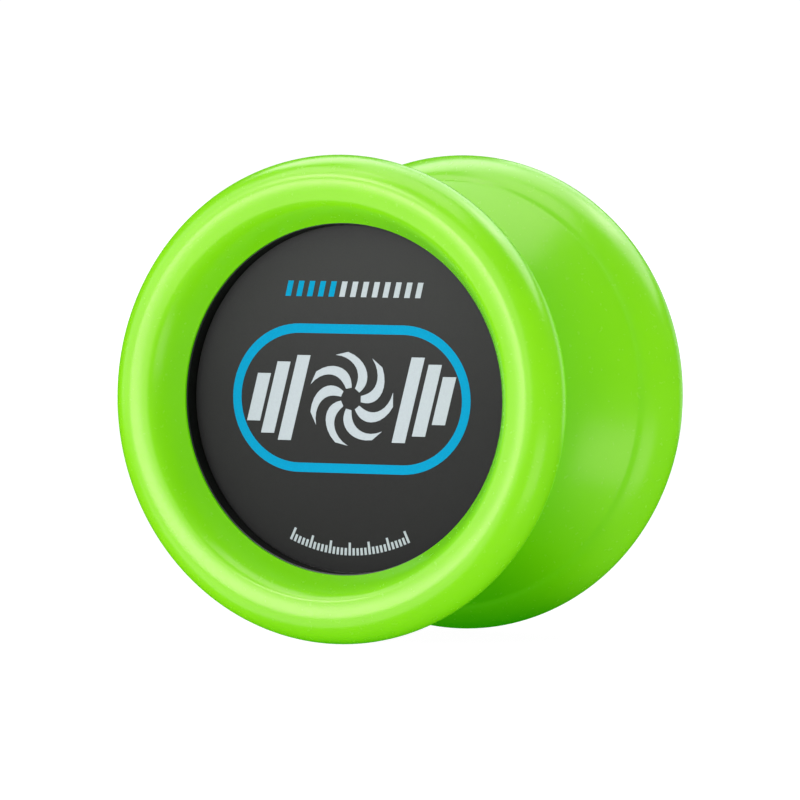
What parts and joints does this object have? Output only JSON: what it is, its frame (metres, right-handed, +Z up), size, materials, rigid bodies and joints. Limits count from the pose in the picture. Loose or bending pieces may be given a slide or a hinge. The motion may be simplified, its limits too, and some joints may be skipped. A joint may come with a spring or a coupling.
{
  "type": "yo-yo",
  "caption": "Butterfly-shaped yo-yo: two flared translucent half shells with dished side caps on a threaded axle, with a shielded ball bearing between them.",
  "frame": {"origin": "middle of the axle, halfway between the two halves", "axes": "+Y along the spin axis from the front half to the rear half, +Z up, +X to the right seen from the front"},
  "size_m": [0.057, 0.0416, 0.057],
  "materials": {
    "shell_plastic": "satin lime green, slightly translucent",
    "cap_plastic": "satin black",
    "label_film": "fine textured printed film, dark grey with blue and off-white ink",
    "nut_steel": "zinc plated",
    "axle_steel": "bare threaded steel",
    "spacer_aluminium": "turned",
    "bearing_steel": "polished bearing steel",
    "cage_steel": "pressed steel",
    "pad_silicone": "soft matt silicone"
  },
  "bodies": {
    "front_half": {"front_half_shell": "shell_plastic", "front_side_cap": "cap_plastic", "front_cap_label": "label_film", "front_hub_nut": "nut_steel", "front_bearing_spacer": "spacer_aluminium", "front_response_pad": "pad_silicone", "axle": "axle_steel", "bearing_inner_race": "bearing_steel"},
    "rear_spacer": {"rear_bearing_spacer": "spacer_aluminium"},
    "rear_half": {"rear_half_shell": "shell_plastic", "rear_side_cap": "cap_plastic", "rear_cap_label": "label_film", "rear_hub_nut": "nut_steel", "rear_response_pad": "pad_silicone"},
    "bearing_outer": {"bearing_outer_race": "bearing_steel", "front_bearing_shield": "bearing_steel", "rear_bearing_shield": "bearing_steel", "front_shield_clip": "bearing_steel", "rear_shield_clip": "bearing_steel"},
    "bearing_cage": {"bearing_cage": "cage_steel"},
    "ball_1": {"bearing_ball_1": "bearing_steel"},
    "ball_2": {"bearing_ball_2": "bearing_steel"},
    "ball_3": {"bearing_ball_3": "bearing_steel"},
    "ball_4": {"bearing_ball_4": "bearing_steel"},
    "ball_5": {"bearing_ball_5": "bearing_steel"},
    "ball_6": {"bearing_ball_6": "bearing_steel"},
    "ball_7": {"bearing_ball_7": "bearing_steel"},
    "ball_8": {"bearing_ball_8": "bearing_steel"}
  },
  "joints": [
    {"name": "rear_spacer_slide", "type": "slide", "parent": "front_half", "child": "rear_spacer", "axis": [0, 1, 0], "range_m": [0, 0.0036]},
    {"name": "unscrew_rear_half", "type": "hinge", "parent": "rear_spacer", "child": "rear_half", "pos_m": [0, 0, 0], "axis": [0, 1, 0], "range_deg": [0, 1800]},
    {"name": "bearing_outer_spin", "type": "hinge", "parent": "front_half", "child": "bearing_outer", "pos_m": [0, 0, 0], "axis": [0, 1, 0], "continuous": true},
    {"name": "bearing_cage_spin", "type": "hinge", "parent": "front_half", "child": "bearing_cage", "pos_m": [0, 0, 0], "axis": [0, 1, 0], "continuous": true},
    {"name": "ball_1_roll", "type": "hinge", "parent": "bearing_cage", "child": "ball_1", "pos_m": [0.00182, 0, 0.0044], "axis": [0, 1, 0], "continuous": true},
    {"name": "ball_2_roll", "type": "hinge", "parent": "bearing_cage", "child": "ball_2", "pos_m": [0.0044, 0, 0.00182], "axis": [0, 1, 0], "continuous": true},
    {"name": "ball_3_roll", "type": "hinge", "parent": "bearing_cage", "child": "ball_3", "pos_m": [0.0044, 0, -0.00182], "axis": [0, 1, 0], "continuous": true},
    {"name": "ball_4_roll", "type": "hinge", "parent": "bearing_cage", "child": "ball_4", "pos_m": [0.00182, 0, -0.0044], "axis": [0, 1, 0], "continuous": true},
    {"name": "ball_5_roll", "type": "hinge", "parent": "bearing_cage", "child": "ball_5", "pos_m": [-0.00182, 0, -0.0044], "axis": [0, 1, 0], "continuous": true},
    {"name": "ball_6_roll", "type": "hinge", "parent": "bearing_cage", "child": "ball_6", "pos_m": [-0.0044, 0, -0.00182], "axis": [0, 1, 0], "continuous": true},
    {"name": "ball_7_roll", "type": "hinge", "parent": "bearing_cage", "child": "ball_7", "pos_m": [-0.0044, 0, 0.00182], "axis": [0, 1, 0], "continuous": true},
    {"name": "ball_8_roll", "type": "hinge", "parent": "bearing_cage", "child": "ball_8", "pos_m": [-0.00182, 0, 0.0044], "axis": [0, 1, 0], "continuous": true}
  ],
  "couplings": [
    {"joint": "rear_spacer_slide", "follows": "unscrew_rear_half", "m_per_rad": 0.00011141},
    {"joint": "bearing_cage_spin", "follows": "bearing_outer_spin", "ratio": 0.58298},
    {"joint": "ball_1_roll", "follows": "bearing_outer_spin", "ratio": 2.9297},
    {"joint": "ball_2_roll", "follows": "bearing_outer_spin", "ratio": 2.9297},
    {"joint": "ball_3_roll", "follows": "bearing_outer_spin", "ratio": 2.9297},
    {"joint": "ball_4_roll", "follows": "bearing_outer_spin", "ratio": 2.9297},
    {"joint": "ball_5_roll", "follows": "bearing_outer_spin", "ratio": 2.9297},
    {"joint": "ball_6_roll", "follows": "bearing_outer_spin", "ratio": 2.9297},
    {"joint": "ball_7_roll", "follows": "bearing_outer_spin", "ratio": 2.9297},
    {"joint": "ball_8_roll", "follows": "bearing_outer_spin", "ratio": 2.9297}
  ]
}
